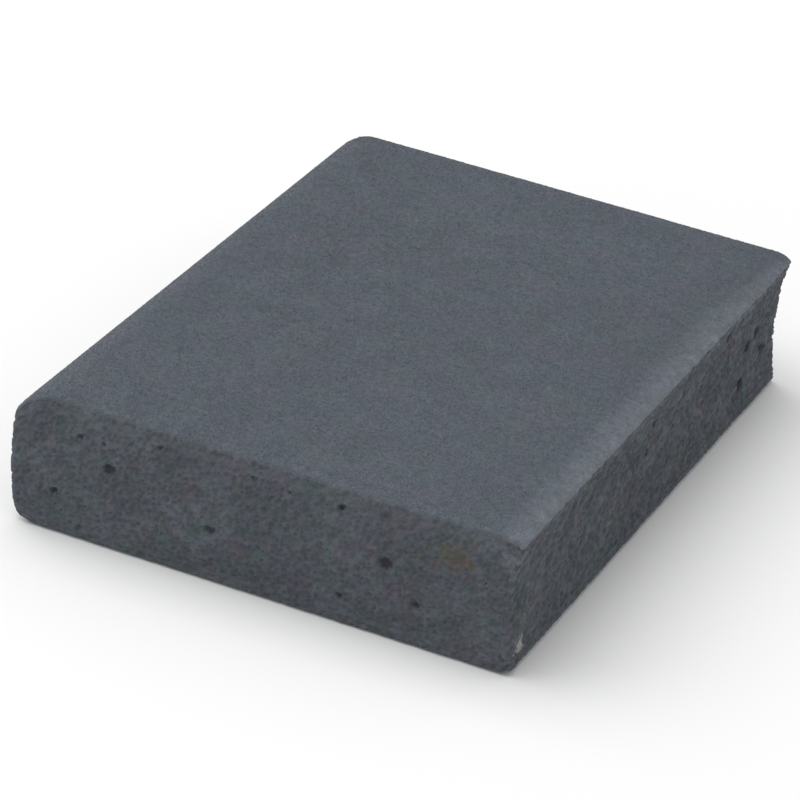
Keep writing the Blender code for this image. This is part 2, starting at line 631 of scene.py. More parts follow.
def run_tree(blank, tree, sizes, name):
    """Runs a tree on a blank and returns its result as a plain mesh object."""
    modifier = blank.modifiers.new(tree.name, "NODES")
    modifier.node_group = tree
    for item in tree.interface.items_tree:
        if item.in_out == "INPUT" and item.name in sizes:
            modifier[item.identifier] = sizes[item.name]
    depsgraph = bpy.context.evaluated_depsgraph_get()
    mesh = bpy.data.meshes.new_from_object(blank.evaluated_get(depsgraph), depsgraph=depsgraph)
    blank.modifiers.remove(modifier)
    mesh.name = name
    return put_in_scene(name, mesh)


def stored(tree, geometry, name, value, domain="POINT", data_type="FLOAT"):
    """Leaves a value on the geometry, under a name that a finish can read."""
    wanted = {"Geometry": geometry, "Name": name, "Value": value}
    kind = "GeometryNodeStoreNamedAttribute"
    return node(tree, kind, wanted, data_type=data_type, domain=domain).outputs[0]


def read_value(tree, name):
    """A number that an earlier step left on the mesh."""
    kind = "GeometryNodeInputNamedAttribute"
    return node(tree, kind, {"Name": name}, data_type="FLOAT").outputs[0]


print("a tree's inputs can be:", sorted(kind.__name__ for kind in KINDS))

# %% [markdown]
# A cell is where the cutter went through a bubble. So each wall point that lies
# inside a bubble is pushed in towards the bubble's far side. Small bubbles come
# from a pattern of random centres, and the large ones from the pores made above.
# The same tree carves the foam and the cut edges of the coats.

# %% The tree that carves the cells
CELL_SOFTNESS = 0.95
PORE_SOFTNESS = 0.9
CELL_SWELL = (0.45, 0.90)
WARP_SIZE = 0.7 * MM
CELL_WARP = 0.35 * MM
PORE_WARP = 1.1 * MM
PORE_SQUASH = Vector((1, 1, 1.3))
DRAGGED_DEPTH = 1.1
WAVE_SIZE = 7 * MM
RIPPLE_SIZE = 1.4 * MM


def bubble_depth(tree, place, facing, centre, radius, deepest, softness):
    """How far a wall point inside a sphere sinks towards the sphere's far side."""
    offset = vector_sum(tree, "SUBTRACT", place, centre)
    over = vector_sum(tree, "DOT_PRODUCT", offset, facing)
    away = vector_sum(tree, "DOT_PRODUCT", offset, offset)
    squared = times(tree, radius, radius)
    sideways = sum_of(tree, "SUBTRACT", away, times(tree, over, over))
    chord = sum_of(tree, "MAXIMUM", sum_of(tree, "SUBTRACT", squared, sideways), 0.0)
    depth = sum_of(tree, "ADD", over, sum_of(tree, "SQRT", chord))
    inside = sum_of(tree, "SUBTRACT", 1.0, sum_of(tree, "DIVIDE", away, squared))
    rim = ramp(tree, inside, 0.0, softness)
    depth = sum_of(tree, "MAXIMUM", depth, 0.0)
    share = sum_of(tree, "DIVIDE", deepest, sum_of(tree, "ADD", depth, deepest))
    return times(tree, depth, share, rim)


def swing(tree, place, size, height, where):
    """A gentle rise and fall of this height, only where the last number is 1."""
    level = sum_of(tree, "SUBTRACT", noise(tree, place, size, 3.0, 0.6), 0.5)
    return times(tree, level, height, where)


def outward(tree, wall):
    """The way out of the surface. On a wall it is level, so that no seam is pulled open."""
    normal = node(tree, "GeometryNodeInputNormal").outputs[0]
    level = vector_sum(tree, "NORMALIZE", vector_sum(tree, "MULTIPLY", normal, (1, 1, 0)))
    on_face = scaled(tree, normal, sum_of(tree, "SUBTRACT", 1.0, wall))
    return vector_sum(tree, "ADD", on_face, scaled(tree, level, wall))


def point_value(tree, cloud, value, index, data_type):
    """What one point of a cloud holds."""
    wanted = {"Geometry": cloud, "Value": value, "Index": index}
    made = node(tree, "GeometryNodeSampleIndex", wanted, data_type=data_type, domain="POINT")
    return made.outputs[0]


def cell_tree():
    tree, given = geometry_tree(
        "cut_cells",
        {
            "Pores": bpy.types.Object,
            "Cell Size": float,
            "Cell Depth": float,
            "Pore Depth": float,
            "Waviness": float,
            "Ripple": float,
            "Finish": bpy.types.Material,
        },
    )
    place = node(tree, "GeometryNodeInputPosition").outputs[0]
    wall = read_value(tree, "wall")
    facing = outward(tree, wall)
    swirl = node(tree, "ShaderNodeTexNoise", {"Vector": place, "Scale": 1 / WARP_SIZE})
    sway = vector_sum(tree, "SUBTRACT", swirl.outputs["Color"], (0.5, 0.5, 0.5))
    near_cells = vector_sum(tree, "ADD", drawn_out(tree, place), scaled(tree, sway, CELL_WARP))
    near_pore = vector_sum(tree, "ADD", place, scaled(tree, sway, PORE_WARP))
    pattern = {"Vector": near_cells, "Scale": sum_of(tree, "DIVIDE", 1.0, given["Cell Size"])}
    depths = []
    for feature in ("F1", "F2"):
        cells = node(tree, "ShaderNodeTexVoronoi", pattern, feature=feature)
        chance = sum_of(tree, "FRACT", vector_sum(tree, "LENGTH", cells.outputs["Color"]))
        swell = ramp(tree, chance, 0, 1, *CELL_SWELL, smooth=False)
        radius = times(tree, given["Cell Size"], swell)
        centre = cells.outputs["Position"]
        depths.append(
            bubble_depth(tree, near_cells, facing, centre, radius, given["Cell Depth"], CELL_SOFTNESS)
        )
    cell = sum_of(tree, "MAXIMUM", *depths)

    cloud = node(tree, "GeometryNodeObjectInfo", {"Object": given["Pores"]}).outputs["Geometry"]
    nearest = node(tree, "GeometryNodeSampleNearest", {"Geometry": cloud}, domain="POINT").outputs[0]
    centre = point_value(tree, cloud, place, nearest, "FLOAT_VECTOR")
    pore_radius = point_value(tree, cloud, read_value(tree, "pore_radius"), nearest, "FLOAT")
    squashed = [vector_sum(tree, "MULTIPLY", spot, PORE_SQUASH) for spot in (near_pore, centre)]
    pore = bubble_depth(
        tree, squashed[0], facing, squashed[1], pore_radius, given["Pore Depth"], PORE_SOFTNESS
    )

    cell = times(tree, cell, ramp(tree, on_right(tree, place), 0, 1, 1, DRAGGED_DEPTH))
    depth = times(tree, sum_of(tree, "MAXIMUM", cell, pore), wall)
    wave = swing(tree, place, WAVE_SIZE, given["Waviness"], wall)
    ripple = swing(tree, place, RIPPLE_SIZE, given["Ripple"], read_value(tree, "face"))
    # The depth is kept as hollow, by which the finishes paint shade into the hollows
    hollow = sum_of(tree, "DIVIDE", depth, given["Cell Depth"])
    kept = stored(tree, given["Geometry"], "hollow", hollow)
    rise = sum_of(tree, "SUBTRACT", sum_of(tree, "ADD", wave, ripple), depth)
    shift = scaled(tree, facing, rise)
    carved = node(tree, "GeometryNodeSetPosition", {"Geometry": kept, "Offset": shift})
    finish_tree(tree, carved.outputs[0], given["Finish"])
    return tree


carving_tree = cell_tree()
print("carving tree:", len(carving_tree.nodes), "nodes")

# %% [markdown]
# ## The coats
#
# Each wide face has two layers on it. The make coat is a thin film of resin that
# soaks a little way into the foam. The grit coat is a second film that holds the
# grains. Both are thin closed sheets, so both are wrapped by one function: a grid
# is stretched between the four measured rims, and its inner points are dropped on
# to the solid's top and raised on to its underside by plumb lines.

# %% Wrap a thin sheet
SHEET_STEP = 0.12 * MM
EDGE_ROWS = 3
RIM_SPLIT = 3
LIP_REACH = 1.2 * MM
# Pale rim bands: wear on the front, back and left rims, mostly painted sheen on the right
RUB_AND_SHEEN_REACH = {"front": 2.2 * MM, "right": 4.4 * MM, "back": 1.5 * MM, "left": 3.0 * MM}
RUB_AND_SHEEN_AMOUNT = {"front": 0.2, "right": 1.0, "back": 0.3, "left": 0.25}
UNDER_RUB_AND_SHEEN = 0.4
# The right rim's pale band, wear with painted sheen, narrows as it nears the back corner
NARROWEST = 0.35
NARROWING_RUN = 30 * MM


def stretch_grid(rim, across, along):
    """A grid between four measured rims, which is called a Coons patch."""
    front = rim[: across + 1]
    right = rim[across : across + along + 1]
    back = rim[across + along : 2 * across + along + 1][::-1]
    left = np.vstack([rim[2 * across + along :], rim[:1]])[::-1]
    u = np.linspace(0, 1, across + 1)[None, :, None]
    v = np.linspace(0, 1, along + 1)[:, None, None]
    sides = (1 - v) * front[None] + v * back[None] + (1 - u) * left[:, None] + u * right[:, None]
    near = (1 - v) * ((1 - u) * front[0] + u * front[-1])
    far = v * ((1 - u) * back[0] + u * back[-1])
    return sides - near - far


def border_of(across, along):
    """The grid's border points, in order round the block from the front left corner."""
    grid = np.arange((along + 1) * (across + 1)).reshape(along + 1, across + 1)
    return np.concatenate([grid[0, :-1], grid[:-1, -1], grid[-1, :0:-1], grid[:0:-1, 0]])


def measured_rim(surface, name, across, along):
    """Where the sheet's cut edge is: its lower and its upper corner, all the way round."""
    low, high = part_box(name)
    counts = [across * RIM_SPLIT, along * RIM_SPLIT] * 2
    levels = np.arange(low.z + SHEET_STEP / 2, high.z, SHEET_STEP)
    lower, upper = [], []
    for point, out in zip(*string_round(name, counts)):
        bottom, top = wall_band(surface, point, out, levels)
        for level, rim in ((bottom, lower), (top, upper)):
            rim.append(wall_hit(surface, point, out, level))
    return np.array(lower), np.array(upper)


def laid_on(surface, grid, direction, border, rim):
    """Drops a grid's inner points on to the solid, and holds its border on the rim."""
    points = grid.reshape(-1, 3).copy()
    inner = np.setdiff1d(np.arange(len(points)), border)
    for k in inner:
        level = drop_on(surface, points[k], direction)
        points[k, 2] = points[k, 2] if level is None else level
    points[border] = rim
    return points


def rub_and_sheen_rim(points):
    """How pale each point's rim is painted, from 0 to 1: wear, and on the right rim mostly painted
    sheen.
    """
    run = np.clip((cad_high.y - points[:, 1]) / NARROWING_RUN, 0, 1)
    narrowing = NARROWEST + (1 - NARROWEST) * run
    inside = {
        "left": points[:, 0] - cad_low.x,
        "right": (cad_high.x - points[:, 0]) / narrowing,
        "front": points[:, 1] - cad_low.y,
        "back": cad_high.y - points[:, 1],
    }
    shares = []
    for side, reach in RUB_AND_SHEEN_REACH.items():
        shares.append(RUB_AND_SHEEN_AMOUNT[side] * np.clip(1 - inside[side] / reach, 0, 1))
    return np.max(shares, 0)


print("a sheet's cut edge has", EDGE_ROWS, "rows, split", RIM_SPLIT, "times finer than its faces")

# %% [markdown]
# The cut edge shows the same cells as the foam, so it needs finer points than the
# wide faces do. The extra points sit on the rim, between the grid's own, and the
# faces next to the rim take them in as extra corners.

# %% Join two faces and a cut edge into a closed sheet
def rim_of(border, first_extra):
    """The rim's points in order: each grid point, then the extra ones after it."""
    extras = first_extra + np.arange(len(border) * (RIM_SPLIT - 1)).reshape(len(border), -1)
    return np.hstack([border[:, None], extras]).ravel()


def face_of(grid, rim, upwards):
    """The grid's quads, with the rim's extra points taken in as corners."""
    quads = np.stack([grid[:-1, :-1], grid[:-1, 1:], grid[1:, 1:], grid[1:, :-1]], -1)
    between = {}
    runs = np.append(rim, rim[0])
    for k in range(0, len(rim), RIM_SPLIT):
        run = runs[k : k + RIM_SPLIT + 1].tolist()
        between[run[0], run[-1]] = run[1:-1]
    faces = []
    for quad in quads.reshape(-1, 4).tolist():
        corners = []
        for start, end in zip(quad, quad[1:] + quad[:1]):
            corners += [start, *between.get((start, end), ())]
        faces.append(corners if upwards else corners[::-1])
    return faces


# Where the hidden face and the cut edge lie in the flat map, and their shares of it
SHEET_MARGIN = 0.005
HIDDEN_PLACE = (0.71, 0)
HIDDEN_SHARE = (0.3, 0.9)
EDGE_PLACE = (0.94, 0.01)
EDGE_SHARE = (0.05, 0.98)


def sheet_map(points, kinds, face_up):
    """Lays the gritty face flat at full size, and the rest in what is left of the map."""

    def lay(mesh, corners):
        where = points[corners]
        kind = np.repeat(kinds, corner_counts(mesh))
        flat = laid_flat(where) + SHEET_MARGIN
        hidden = kind == (1 if face_up else 0)
        flat[hidden] = flat[hidden] * HIDDEN_SHARE + HIDDEN_PLACE
        edge = kind == 2
        level = (where[edge, 2] - cad_low.z) / (cad_high.z - cad_low.z)
        turn = np.arctan2(where[edge, 1] - block_centre.y, where[edge, 0] - block_centre.x)
        flat[edge, 0] = EDGE_PLACE[0] + level * EDGE_SHARE[0]
        flat[edge, 1] = EDGE_PLACE[1] + EDGE_SHARE[1] * (turn + math.pi) / (2 * math.pi)
        return flat

    return lay


def wrap_sheet(name, spacing, below, above, face_up, rim_cut=1.0):
    """A closed thin sheet on a CAD layer, grown below and above to meet its neighbours."""
    surface = surface_of(name)
    low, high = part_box(name)
    across, along = round((high.x - low.x) / spacing), round((high.y - low.y) / spacing)
    border = border_of(across, along)
    lower, upper = measured_rim(surface, name, across, along)
    layers = []
    for rim, direction, growth in ((upper, -1, above), (lower, 1, -below)):
        main = rim[::RIM_SPLIT]
        extras = np.delete(rim, np.s_[::RIM_SPLIT], 0)
        grid = stretch_grid(main, across, along)
        layer = np.vstack([laid_on(surface, grid, direction, border, main), extras])
        layers.append(layer + [0, 0, growth])
    per_layer, in_grid = len(layers[0]), (across + 1) * (along + 1)
    rim = rim_of(border, in_grid)
    grid = np.arange(in_grid).reshape(along + 1, across + 1)
    top_faces = face_of(grid, rim, True)
    faces = top_faces + [[k + per_layer for k in face[::-1]] for face in top_faces]
    rows, middles = [rim + per_layer], []
    for row in range(1, EDGE_ROWS + 1):
        share = row / (EDGE_ROWS + 1)
        middles.append(layers[1][rim] * (1 - share) + layers[0][rim] * share)
        rows.append(2 * per_layer + (row - 1) * len(rim) + np.arange(len(rim)))
    rows.append(rim)
    for under, over in zip(rows, rows[1:]):
        strip = [under, np.roll(under, -1), np.roll(over, -1), over]
        faces += np.stack(strip, -1).tolist()
    points = np.vstack([*layers, *middles])
    wall = np.zeros(len(points))
    wall[np.concatenate(rows)] = 1
    wall[rows[-1 if face_up else 0]] = rim_cut
    shown = np.zeros(len(points))
    shown[:per_layer] = face_up
    shown[per_layer : 2 * per_layer] = not face_up
    # How pale the rims are painted: wear, and on the right rim mostly painted sheen
    rubbed = rub_and_sheen_rim(points) * (1 if face_up else UNDER_RUB_AND_SHEEN)
    values = {"wall": wall, "face": shown * (1 - wall), "rubbed": rubbed}
    kinds = np.repeat([0, 1, 2], [len(top_faces), len(top_faces), len(faces) - 2 * len(top_faces)])
    outer, inner = (rows[-1], rows[0]) if face_up else (rows[0], rows[-1])
    lip = outer[points[outer, 0] > cad_high.x - LIP_REACH]
    flat_map = sheet_map(points, kinds, face_up)
    return mesh_from(name + "_blank", points, faces, values, flat_map, np.append(inner, lip))


# %% [markdown]
# The make coats grow both ways and the grit coats inwards, each by a little more
# than half a gap, so no slit of light shows between two layers. None grows past
# the block's own faces.

# %% Wrap the four coats
GRIT_GRID = 0.5 * MM
MAKE_GRID = 0.7 * MM
REACH_OUT = LAYER_GAP / 2 + 0.02 * MM
RIM_CUT = 0.4
sheets = {
    "upper_grit_coat": wrap_sheet("upper_grit_coat", GRIT_GRID, REACH_OUT, 0, True, RIM_CUT),
    "lower_grit_coat": wrap_sheet("lower_grit_coat", GRIT_GRID, 0, REACH_OUT, False, RIM_CUT),
    "upper_make_coat": wrap_sheet("upper_make_coat", MAKE_GRID, REACH_OUT, REACH_OUT, True),
    "lower_make_coat": wrap_sheet("lower_make_coat", MAKE_GRID, REACH_OUT, REACH_OUT, False),
}
for name, sheet in sheets.items():
    print(name, len(sheet.data.polygons), "faces")

# %% [markdown]
# ## The grit
#
# The grit is crushed mineral, sieved into sizes and thrown on to the wet resin.
# Each grain is a small crystal, so an eight-sided one is enough, squashed and
# turned at random. A bump texture has no points to catch the light at the rim. So
# a tree scatters points on the coat with no order at all, puts a grain on each,
# and sinks it a little.

# %% The tree that scatters the grit
GRAIN_SQUASH = ((0.75, 0.75, 0.55), (1.25, 1.25, 1.05))
FULL_TURN = (2 * math.pi,) * 3
# Grit sits where the coat faces up, or down, by more than this
LEAST_FACING = 0.35


def random_vector(tree, low, high, seed):
    """Three random numbers for each point, between two corners."""
    wanted = {0: low, 1: high, "Seed": seed}
    return node(tree, "FunctionNodeRandomValue", wanted, data_type="FLOAT_VECTOR").outputs[0]


def grit_tree():
    tree, given = geometry_tree(
        "grit_scatter",
        {
            "Grain Size": float,
            "Grains per Square Metre": float,
            "Sink": float,
            "Upwards": float,
            "Seed": int,
            "Finish": bpy.types.Material,
        },
    )
    facing = node(tree, "GeometryNodeInputNormal").outputs[0]
    height = node(tree, "ShaderNodeSeparateXYZ", {0: facing}).outputs["Z"]
    outer = sum_of(tree, "GREATER_THAN", times(tree, height, given["Upwards"]), LEAST_FACING)
    scatter = node(
        tree,
        "GeometryNodeDistributePointsOnFaces",
        {
            "Mesh": given["Geometry"],
            "Selection": outer,
            "Density": given["Grains per Square Metre"],
            "Seed": given["Seed"],
        },
        distribute_method="RANDOM",
    )
    down = scaled(tree, scatter.outputs["Normal"], times(tree, given["Sink"], -1.0))
    sunk = node(tree, "GeometryNodeSetPosition", {"Geometry": scatter.outputs["Points"], "Offset": down})
    grain = node(
        tree,
        "GeometryNodeMeshUVSphere",
        {"Segments": 4, "Rings": 2, "Radius": times(tree, given["Grain Size"], 0.5)},
    ).outputs["Mesh"]
    turn = random_vector(tree, (0, 0, 0), FULL_TURN, given["Seed"])
    squash = random_vector(tree, *GRAIN_SQUASH, sum_of(tree, "ADD", given["Seed"], 1.0))
    grains = node(
        tree,
        "GeometryNodeInstanceOnPoints",
        {"Points": sunk.outputs[0], "Instance": grain, "Rotation": turn, "Scale": squash},
    ).outputs[0]
    tone = node(
        tree,
        "FunctionNodeRandomValue",
        {2: 0.0, 3: 1.0, "Seed": sum_of(tree, "ADD", given["Seed"], 2.0)},
        data_type="FLOAT",
    ).outputs[1]
    toned = stored(tree, grains, "tone", tone, "INSTANCE")
    finish_tree(tree, toned, given["Finish"], mapped=True)
    return tree


scatter_tree = grit_tree()
print("scatter tree:", len(scatter_tree.nodes), "nodes")

# %% [markdown]
# ## Finishes
#
# Nothing on this object is one flat colour. Each finish starts from two slates
# mixed in clouds, drifts a little in hue, and gets darker or lighter where the
# shape says so: painted shade in the hollows, paler rims of wear and painted sheen,
# from grain to grain.

# %% Helpers for finishes
# Noise runs from 0 to 1, but most of it lies in this span
NOISE_SPAN = (0.3, 0.7)
# A tint begins at the first noise level and is full at the second
TINT_SPAN = (0.48, 0.68)


def rgb(red, green, blue):
    """A colour as a socket wants it."""
    return (red, green, blue, 1.0)


def new_finish(name):
    """A material, its tree, and the places on the piece that its patterns are laid by."""
    made = bpy.data.materials.new(name)
    made.use_nodes = True
    tree = made.node_tree
    return made, tree, node(tree, "ShaderNodeTexCoord").outputs["Object"]


def clouded(tree, place, swings):
    """A brightness near 1 that drifts at several sizes at once, given as (size, swing)."""
    factor = 1.0
    for size, swing in swings:
        cloud = noise(tree, place, size)
        drift = ramp(tree, cloud, *NOISE_SPAN, 1 - swing, 1 + swing, smooth=False)
        factor = times(tree, drift, factor)
    return factor


def wandering(tree, place, size, low, high):
    """A number that goes softly from low to high and back, in patches of this size."""
    return ramp(tree, noise(tree, place, size), *NOISE_SPAN, low, high)


def hue_drift(tree, place, colour, tints):
    """Blotches of faint tints, given as (blotch size, colour, strongest share)."""
    for size, tint, share in tints:
        cloud = noise(tree, place, size, 3.0, 0.6)
        colour = blend(tree, ramp(tree, cloud, *TINT_SPAN, 0, share), colour, tint)
    return colour


def blotch(tree, place, centre, radius, stretch):
    """1 inside a stain with a ragged edge, and 0 outside it."""
    offset = vector_sum(tree, "SUBTRACT", place, Vector(centre))
    offset = vector_sum(tree, "DIVIDE", offset, stretch)
    cloud = noise(tree, place, radius * 0.6, 3.0)
    ragged = ramp(tree, cloud, *NOISE_SPAN, 0.3, 1.7, smooth=False)
    away = times(tree, vector_sum(tree, "LENGTH", offset), ragged)
    return ramp(tree, away, radius * 0.5, radius, 1.0, 0.0)


def complete(tree, colour, roughness, bumps):
    """Joins a finish to its shader. Bumps are (noise socket, height) pairs."""
    shader = tree.nodes["Principled BSDF"]
    normal = None
    for height, distance in bumps:
        bump = node(tree, "ShaderNodeBump", {"Height": height, "Distance": distance})
        if normal is not None:
            tree.links.new(normal, bump.inputs["Normal"])
        normal = bump.outputs["Normal"]
    tree.links.new(colour, shader.inputs["Base Color"])
    tree.links.new(roughness, shader.inputs["Roughness"])
    tree.links.new(normal, shader.inputs["Normal"])


print("noise is taken to run from", NOISE_SPAN[0], "to", NOISE_SPAN[1])

# %% [markdown]
# The foam is painted paler on its struts and darker in its hollows, with its pores
# near black: this is painted shade. Near its front right corner it has a rusty stain,
# a pale chip low down and a pale smudge high up, so those are put where they are on the real block.

# %% The foam's finish
FOAM_DARK = rgb(0.072, 0.084, 0.101)
FOAM_LIGHT = rgb(0.090, 0.103, 0.123)
FOAM_TINTS = (
    (5.0 * MM, rgb(0.092, 0.082, 0.114), 0.70),
    (3.4 * MM, rgb(0.062, 0.092, 0.092), 0.70),
    (2.1 * MM, rgb(0.092, 0.084, 0.078), 0.40),
)
FOAM_CLOUDS = ((9 * MM, 0.05), (2.2 * MM, 0.08), (0.9 * MM, 0.14), (0.35 * MM, 0.12))
FOAM_PATCH = 6 * MM
FOAM_BRIGHTNESS = 0.885
# Size, detail and roughness of the noise, and the height of its bumps
FOAM_BUMPS = ((0.40 * MM, 3.0, 0.65, 0.20 * MM), (0.14 * MM, 2.0, 0.6, 0.04 * MM))
# Patch size, and the surface roughness at its smoothest and its roughest
FOAM_ROUGHNESS = (0.8 * MM, 0.86, 0.98)
# Painted shade: how bright the foam is painted at the surface and in a hollow
HOLLOW_SHADE = (1.05, 0.91)
# Painted shade: the deepest hollows are mixed this far towards this near-black
PORE_SHADE_SHARE = 0.85
PORE_SHADE_TONE = rgb(0.024, 0.023, 0.032)
NAP = Vector((1, 1, 1)).normalized()
NAP_STRETCH = 0.55
# The dragged side has dark and pale lumps of about this size
LUMP_SIZE = 1.0 * MM
LUMP_TONES = (0.82, 1.20)
# The pale of the rims, part wear and part painted sheen; also the smudge's stain colour
PALE_RUB_AND_SHEEN = rgb(0.185, 0.204, 0.236)
# A stain is a place, a radius and a stretch, and then a colour and a strength
RUST = ((26.3 * MM, cad_low.y, 14.6 * MM), 2.8 * MM, (1.2, 1, 0.75))
CHIP = ((35.0 * MM, -46.2 * MM, 2.3 * MM), 1.5 * MM, (1, 0.7, 1.4))
SMUDGE = ((34.6 * MM, -49.6 * MM, 17.8 * MM), 3.0 * MM, (1, 1, 1))
STAINS = (
    (RUST, rgb(0.086, 0.072, 0.054), 0.6),
    (CHIP, rgb(0.36, 0.36, 0.34), 0.85),
    (SMUDGE, PALE_RUB_AND_SHEEN, 0.35),
)


def napped(tree, place):
    """The same places, drawn out slantwise, because the cutter drags the foam as it falls."""
    place = drawn_out(tree, place)
    along = vector_sum(tree, "DOT_PRODUCT", place, NAP)
    return vector_sum(tree, "SUBTRACT", place, scaled(tree, NAP, times(tree, along, NAP_STRETCH)))


def foam_colours(tree, place):
    """The cut foam's colour, from clouds and tints, with painted shade by how deep each hollow is."""
    cloud = ramp(tree, noise(tree, place, FOAM_PATCH, 4.0), 0.35, 0.65)
    colour = hue_drift(tree, place, blend(tree, cloud, FOAM_DARK, FOAM_LIGHT), FOAM_TINTS)
    hollow = attribute(tree, "hollow")
    shade = ramp(tree, hollow, 0.0, 0.7, *HOLLOW_SHADE, smooth=False)
    clouds = clouded(tree, napped(tree, place), FOAM_CLOUDS)
    lump = ramp(tree, noise(tree, drawn_out(tree, place), LUMP_SIZE, 3.0), 0.35, 0.65, *LUMP_TONES)
    lump = times(tree, sum_of(tree, "SUBTRACT", lump, 1.0), on_right(tree, place))
    bright = times(tree, shade, FOAM_BRIGHTNESS, clouds, sum_of(tree, "ADD", lump, 1.0))
    # Painted shade: deep hollows and pores go towards near-black
    deep = ramp(tree, hollow, 0.5, 1.8, 0.0, PORE_SHADE_SHARE)
    return blend(tree, deep, scaled(tree, colour, bright), PORE_SHADE_TONE)


def foam_bumps(tree, place):
    """Struts and torn films that are too fine to carve."""
    place = napped(tree, place)
    return [(noise(tree, place, *pattern), height) for *pattern, height in FOAM_BUMPS]


def make_foam_finish():
    finish, tree, place = new_finish("foam_finish")
    colour = foam_colours(tree, place)
    for stain, tint, strength in STAINS:
        colour = blend(tree, times(tree, blotch(tree, place, *stain), strength), colour, tint)
    complete(tree, colour, wandering(tree, place, *FOAM_ROUGHNESS), foam_bumps(tree, place))
    return finish


foam_finish = make_foam_finish()
print(foam_finish.name, len(foam_finish.node_tree.nodes), "nodes")

# %% [markdown]
# The coat is one cured resin with mineral in it, so the coat and its grains share
# the same clouds. The rims are painted paler, partly as wear and, most of all on
# the right one, as a painted sheen. The cut edge is foam with resin in it, so it
# takes the foam's own colours.

# %% The grit coat's and the grains' finishes
COAT_DARK = rgb(0.054, 0.066, 0.083)
COAT_LIGHT = rgb(0.075, 0.089, 0.110)
GRAIN_TONES = (rgb(0.048, 0.060, 0.078), rgb(0.106, 0.122, 0.148))
COAT_TINTS = (
    (7.0 * MM, rgb(0.086, 0.082, 0.110), 0.50),
    (4.6 * MM, rgb(0.068, 0.096, 0.104), 0.50),
)
COAT_CLOUDS = ((22 * MM, 0.04), (5 * MM, 0.05), (0.9 * MM, 0.12))
COAT_ROUGHNESS = (0.6 * MM, 0.66, 0.88)
COAT_SPECKLE = 0.28 * MM
# The pale rim bands, wear with painted sheen, have ragged edges. The smudge counts this much
RUB_AND_SHEEN_RAGGED = 1.6 * MM
RUB_AND_SHEEN_SHARE = 0.75
SMUDGE_RUB = 0.5
# Grains are smoother the paler they are, with bumps of this size and height
GRAIN_ROUGHNESS = (0.78, 0.58)
GRAIN_BUMP = (0.08 * MM, 0.02 * MM)


def coat_colours(tree, place, colour):
    """What the coat and its grains share: tints, pale rims of wear and painted sheen, clouds."""
    colour = hue_drift(tree, place, colour, COAT_TINTS)
    # Pale rims, wear and on the right mostly painted sheen, with ragged edges; the smudge is a pale
    # stain
    cloud = noise(tree, place, RUB_AND_SHEEN_RAGGED, 3.0)
    ragged = ramp(tree, cloud, *NOISE_SPAN, 0.6, 1.2, smooth=False)
    rub = times(tree, attribute(tree, "rubbed"), ragged)
    smudge = times(tree, blotch(tree, place, *SMUDGE), SMUDGE_RUB)
    rub = times(tree, sum_of(tree, "MAXIMUM", rub, smudge), RUB_AND_SHEEN_SHARE)
    colour = blend(tree, rub, colour, PALE_RUB_AND_SHEEN)
    return scaled(tree, colour, clouded(tree, place, COAT_CLOUDS))


def make_coat_finish():
    finish, tree, place = new_finish("grit_coat_finish")
    speckle = ramp(tree, noise(tree, place, COAT_SPECKLE, 3.0, 0.6), 0.38, 0.62)
    colour = coat_colours(tree, place, blend(tree, speckle, COAT_DARK, COAT_LIGHT))
    colour = blend(tree, attribute(tree, "wall"), colour, foam_colours(tree, place))
    complete(tree, colour, wandering(tree, place, *COAT_ROUGHNESS), foam_bumps(tree, place))
    return finish


def make_grain_finish():
    finish, tree, place = new_finish("grain_finish")
    tone = attribute(tree, "tone")
    colour = coat_colours(tree, place, blend(tree, tone, *GRAIN_TONES))
    roughness = ramp(tree, tone, 0, 1, *GRAIN_ROUGHNESS, smooth=False)
    complete(tree, colour, roughness, [(noise(tree, place, GRAIN_BUMP[0]), GRAIN_BUMP[1])])
    return finish


coat_finish = make_coat_finish()
grain_finish = make_grain_finish()
print("grit finishes:", coat_finish.name, grain_finish.name)

# %% [markdown]
# The make coat has soaked into the foam and set hard. It is darker and smoother
# than what is either side of it, but at its cut edge it is full of foam.

# %% The make coat's finish
MAKE_DARK = rgb(0.044, 0.049, 0.058)
MAKE_LIGHT = rgb(0.078, 0.086, 0.101)
MAKE_SPECKLE = 0.5 * MM
MAKE_ROUGHNESS = (0.7 * MM, 0.55, 0.85)
FOAM_IN_EDGE = 0.85


def make_film_finish():
    finish, tree, place = new_finish("make_coat_finish")
    speckle = ramp(tree, noise(tree, place, MAKE_SPECKLE, 3.0, 0.6), 0.35, 0.65)
    colour = hue_drift(tree, place, blend(tree, speckle, MAKE_DARK, MAKE_LIGHT), COAT_TINTS)
    foamy = times(tree, attribute(tree, "wall"), FOAM_IN_EDGE)
    colour = blend(tree, foamy, colour, foam_colours(tree, place))
    complete(tree, colour, wandering(tree, place, *MAKE_ROUGHNESS), foam_bumps(tree, place))
    return finish


film_finish = make_film_finish()
print(film_finish.name, len(film_finish.node_tree.nodes), "nodes")

# %% [markdown]
# ## Run the trees
#
# Now the blanks, the trees and the finishes come together. Each tree is run once,
# its result is kept as a plain mesh, and the blank is thrown away.

# %% Carve the foam and the coats' cut edges
CELLS = {
    "Pores": pores,
    "Cell Size": 0.62 * MM,
    "Cell Depth": 0.34 * MM,
    "Pore Depth": 1.2 * MM,
    "Waviness": 0.45 * MM,
}
COAT_RIPPLE = 0.06 * MM
foam = run_tree(foam_blank, carving_tree, CELLS | {"Ripple": 0.0, "Finish": foam_finish}, "foam")
coats = {}
for name, sheet in sheets.items():
    look = {"Ripple": 0.0, "Finish": film_finish}
    if "grit" in name:
        look = {"Ripple": COAT_RIPPLE, "Finish": coat_finish}
    coats[name] = run_tree(sheet, carving_tree, CELLS | look, name + "_skin")
for piece in (foam, *coats.values()):
    print(piece.name, len(piece.data.polygons), "faces")

# %% [markdown]
# Four sizes of grain lie mixed on the upper coat. The hidden lower coat carries
# only the coarse ones, which are the ones the block rests on.

